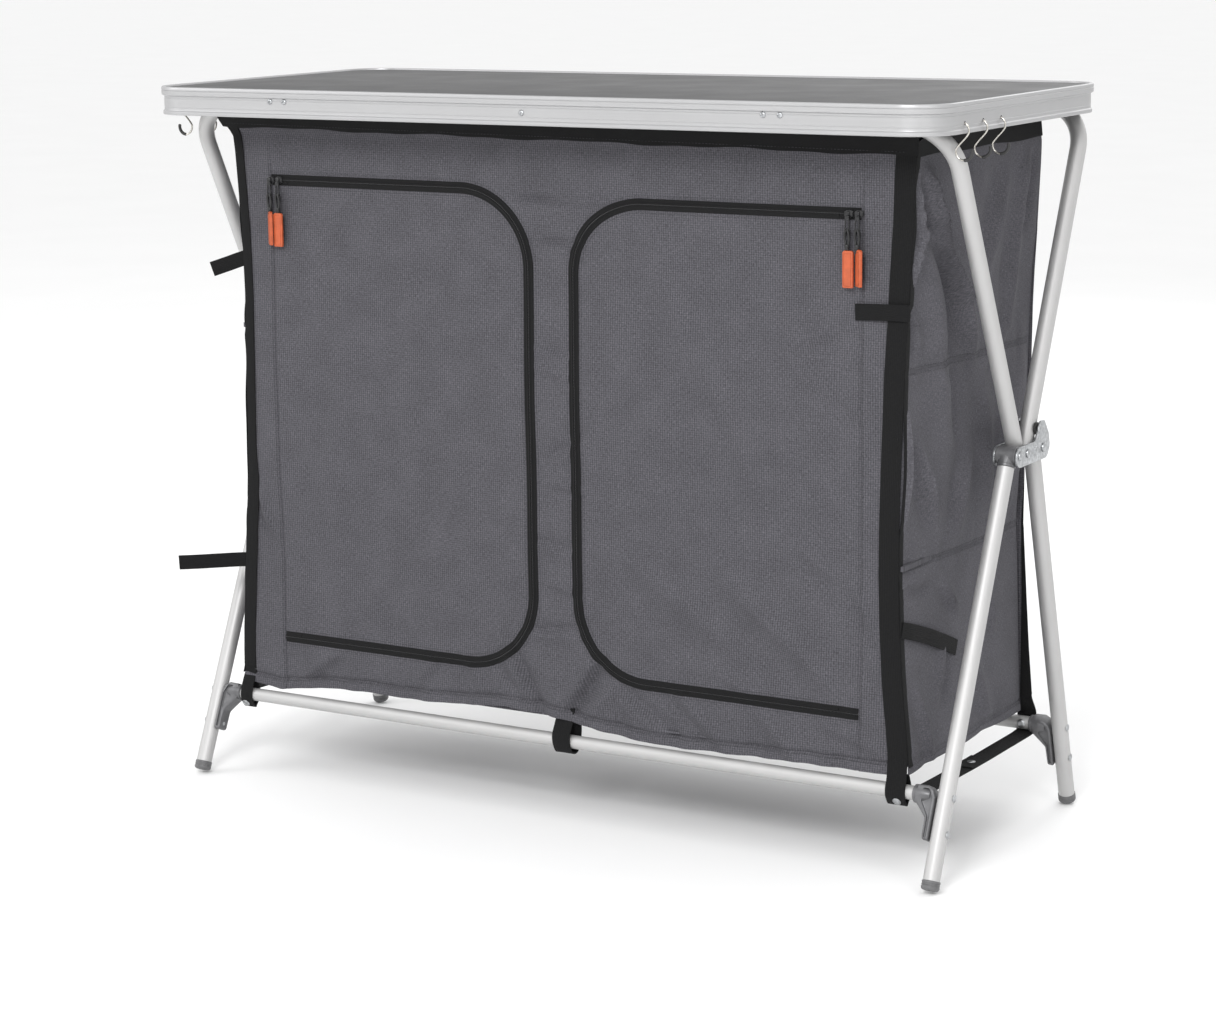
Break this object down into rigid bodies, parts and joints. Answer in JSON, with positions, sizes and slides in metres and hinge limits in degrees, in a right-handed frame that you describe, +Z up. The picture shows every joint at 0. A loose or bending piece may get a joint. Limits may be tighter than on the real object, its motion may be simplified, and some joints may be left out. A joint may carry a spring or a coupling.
{
  "type": "folding camping kitchen cupboard",
  "caption": "Folding camping kitchen cupboard: a rimmed worktop on a folding tube stand, with a zipped cloth cupboard hung between its legs and S-hooks in its rim.",
  "frame": {"origin": "on the floor, under the middle of the worktop", "axes": "+X to the right along the worktop, +Y to the rear, away from the doors, +Z up"},
  "size_m": [1.0448, 0.46, 0.85],
  "materials": {
    "laminate": "grey laminate with a soft sheen on a thin wood board",
    "rim_metal": "satin drawn aluminium edge profile",
    "tube_metal": "satin silver tube",
    "zinc": "zinc-plated pressed steel",
    "casting": "dark grey painted casting with a fine grain",
    "cap_plastic": "grey moulded plastic, ribbed",
    "wire_steel": "bright bent wire",
    "cloth": "charcoal heather woven cloth",
    "webbing": "black woven webbing and zip tape",
    "tag": "orange rubber-like pull tag"
  },
  "bodies": {
    "rear_frame": {"rear_upper_frame": "tube_metal", "hinge_plate_outer_left": "zinc", "hinge_plate_inner_left": "zinc", "front_leg_pivot_pin_left": "zinc", "front_frame_pivot_pin_left": "zinc", "rear_leg_pivot_pin_left": "zinc", "hinge_plate_outer_right": "zinc", "hinge_plate_inner_right": "zinc", "front_leg_pivot_pin_right": "zinc", "front_frame_pivot_pin_right": "zinc", "rear_leg_pivot_pin_right": "zinc"},
    "front_frame": {"front_upper_frame": "tube_metal"},
    "front_legs": {"front_bar": "tube_metal", "front_leg_left": "tube_metal", "front_leg_sleeve_left": "casting", "front_foot_cap_left": "cap_plastic", "front_corner_bracket_left": "casting", "tie_strap_left": "webbing", "front_leg_right": "tube_metal", "front_leg_sleeve_right": "casting", "front_foot_cap_right": "cap_plastic", "front_corner_bracket_right": "casting", "tie_strap_right": "webbing"},
    "rear_legs": {"rear_bar": "tube_metal", "rear_leg_left": "tube_metal", "rear_leg_sleeve_left": "casting", "rear_foot_cap_left": "cap_plastic", "rear_corner_bracket_left": "casting", "rear_leg_right": "tube_metal", "rear_leg_sleeve_right": "casting", "rear_foot_cap_right": "cap_plastic", "rear_corner_bracket_right": "casting"},
    "worktop": {"worktop_rim": "rim_metal", "worktop_board": "laminate", "rear_clip": "cap_plastic", "front_catch_left": "zinc", "front_catch_right": "zinc", "cloth_front": "cloth", "cloth_back": "cloth", "cloth_floor": "cloth", "shelf_lower": "cloth", "shelf_upper": "cloth", "cloth_side_left": "cloth", "cloth_side_right": "cloth"},
    "door_leaf_left": {"door_left": "cloth"},
    "slider_left_leading": {"zip_slider_left_leading": "webbing"},
    "tag_left_leading": {"pull_tag_left_leading": "tag"},
    "slider_left_trailing": {"zip_slider_left_trailing": "webbing"},
    "tag_left_trailing": {"pull_tag_left_trailing": "tag"},
    "s_hook_left_front": {"hook_left_front": "wire_steel"},
    "s_hook_left_middle": {"hook_left_middle": "wire_steel"},
    "s_hook_left_rear": {"hook_left_rear": "wire_steel"},
    "door_leaf_right": {"door_right": "cloth"},
    "slider_right_leading": {"zip_slider_right_leading": "webbing"},
    "tag_right_leading": {"pull_tag_right_leading": "tag"},
    "slider_right_trailing": {"zip_slider_right_trailing": "webbing"},
    "tag_right_trailing": {"pull_tag_right_trailing": "tag"},
    "s_hook_right_front": {"hook_right_front": "wire_steel"},
    "s_hook_right_middle": {"hook_right_middle": "wire_steel"},
    "s_hook_right_rear": {"hook_right_rear": "wire_steel"}
  },
  "joints": [
    {"name": "front_leg_fold", "type": "hinge", "parent": "rear_frame", "child": "front_legs", "pos_m": [0, 0.003, 0.451], "axis": [-1, 0, 0], "range_deg": [0, 180], "deforming": ["cloth_front", "cloth_back", "cloth_floor", "shelf_lower", "shelf_upper", "cloth_side_left", "cloth_side_right", "door_left", "door_right", "zip_slider_left_leading", "pull_tag_left_leading", "zip_slider_left_trailing", "pull_tag_left_trailing", "zip_slider_right_leading", "pull_tag_right_leading", "zip_slider_right_trailing", "pull_tag_right_trailing", "tie_strap_left", "tie_strap_right"]},
    {"name": "front_frame_fold", "type": "hinge", "parent": "rear_frame", "child": "front_frame", "pos_m": [0, 0.025, 0.451], "axis": [-1, 0, 0], "range_deg": [0, 50]},
    {"name": "rear_leg_fold", "type": "hinge", "parent": "rear_frame", "child": "rear_legs", "pos_m": [0, 0.069, 0.451], "axis": [1, 0, 0], "range_deg": [0, 140.2]},
    {"name": "worktop_lift", "type": "slide", "parent": "rear_frame", "child": "worktop", "axis": [0, 0, 1], "range_m": [0, 0.25]},
    {"name": "door_left_hinge", "type": "hinge", "parent": "worktop", "child": "door_leaf_left", "pos_m": [-0.36625, -0.152, 0.458], "axis": [0, 0, -1], "range_deg": [0, 110]},
    {"name": "slider_left_leading_run", "type": "slide", "parent": "worktop", "child": "slider_left_leading", "axis": [1, 0, 0], "range_m": [0, 0.24]},
    {"name": "tag_left_leading_swing", "type": "hinge", "parent": "slider_left_leading", "child": "tag_left_leading", "pos_m": [-0.377, -0.1588, 0.73575], "axis": [-1, 0, 0], "range_deg": [0, 110]},
    {"name": "slider_left_trailing_run", "type": "slide", "parent": "worktop", "child": "slider_left_trailing", "axis": [1, 0, 0], "range_m": [0, 0.216]},
    {"name": "tag_left_trailing_swing", "type": "hinge", "parent": "slider_left_trailing", "child": "tag_left_trailing", "pos_m": [-0.389, -0.1588, 0.73575], "axis": [-1, 0, 0], "range_deg": [0, 110]},
    {"name": "hook_left_front_swing", "type": "hinge", "parent": "worktop", "child": "s_hook_left_front", "pos_m": [-0.511, -0.158, 0.828], "axis": [0, 1, 0], "range_deg": [-5, 30]},
    {"name": "hook_left_middle_swing", "type": "hinge", "parent": "worktop", "child": "s_hook_left_middle", "pos_m": [-0.511, -0.111, 0.828], "axis": [0, 1, 0], "range_deg": [-5, 30]},
    {"name": "hook_left_rear_swing", "type": "hinge", "parent": "worktop", "child": "s_hook_left_rear", "pos_m": [-0.511, -0.064, 0.828], "axis": [0, 1, 0], "range_deg": [-5, 30]},
    {"name": "door_right_hinge", "type": "hinge", "parent": "worktop", "child": "door_leaf_right", "pos_m": [0.36625, -0.152, 0.458], "axis": [0, 0, 1], "range_deg": [0, 110]},
    {"name": "slider_right_leading_run", "type": "slide", "parent": "worktop", "child": "slider_right_leading", "axis": [-1, 0, 0], "range_m": [0, 0.24]},
    {"name": "tag_right_leading_swing", "type": "hinge", "parent": "slider_right_leading", "child": "tag_right_leading", "pos_m": [0.377, -0.1588, 0.73575], "axis": [-1, 0, 0], "range_deg": [0, 110]},
    {"name": "slider_right_trailing_run", "type": "slide", "parent": "worktop", "child": "slider_right_trailing", "axis": [-1, 0, 0], "range_m": [0, 0.216]},
    {"name": "tag_right_trailing_swing", "type": "hinge", "parent": "slider_right_trailing", "child": "tag_right_trailing", "pos_m": [0.389, -0.1588, 0.73575], "axis": [-1, 0, 0], "range_deg": [0, 110]},
    {"name": "hook_right_front_swing", "type": "hinge", "parent": "worktop", "child": "s_hook_right_front", "pos_m": [0.511, -0.158, 0.828], "axis": [0, -1, 0], "range_deg": [-5, 30]},
    {"name": "hook_right_middle_swing", "type": "hinge", "parent": "worktop", "child": "s_hook_right_middle", "pos_m": [0.511, -0.111, 0.828], "axis": [0, -1, 0], "range_deg": [-5, 30]},
    {"name": "hook_right_rear_swing", "type": "hinge", "parent": "worktop", "child": "s_hook_right_rear", "pos_m": [0.511, -0.064, 0.828], "axis": [0, -1, 0], "range_deg": [-5, 30]}
  ],
  "couplings": [
    {"joint": "front_frame_fold", "follows": "front_leg_fold", "ratio": 0.27777},
    {"joint": "rear_leg_fold", "follows": "front_leg_fold", "ratio": 0.7788},
    {"joint": "worktop_lift", "follows": "front_leg_fold", "m_per_rad": 0.0795},
    {"joint": "slider_left_trailing_run", "follows": "slider_left_leading_run", "ratio": 0.9},
    {"joint": "slider_right_trailing_run", "follows": "slider_right_leading_run", "ratio": 0.9}
  ]
}
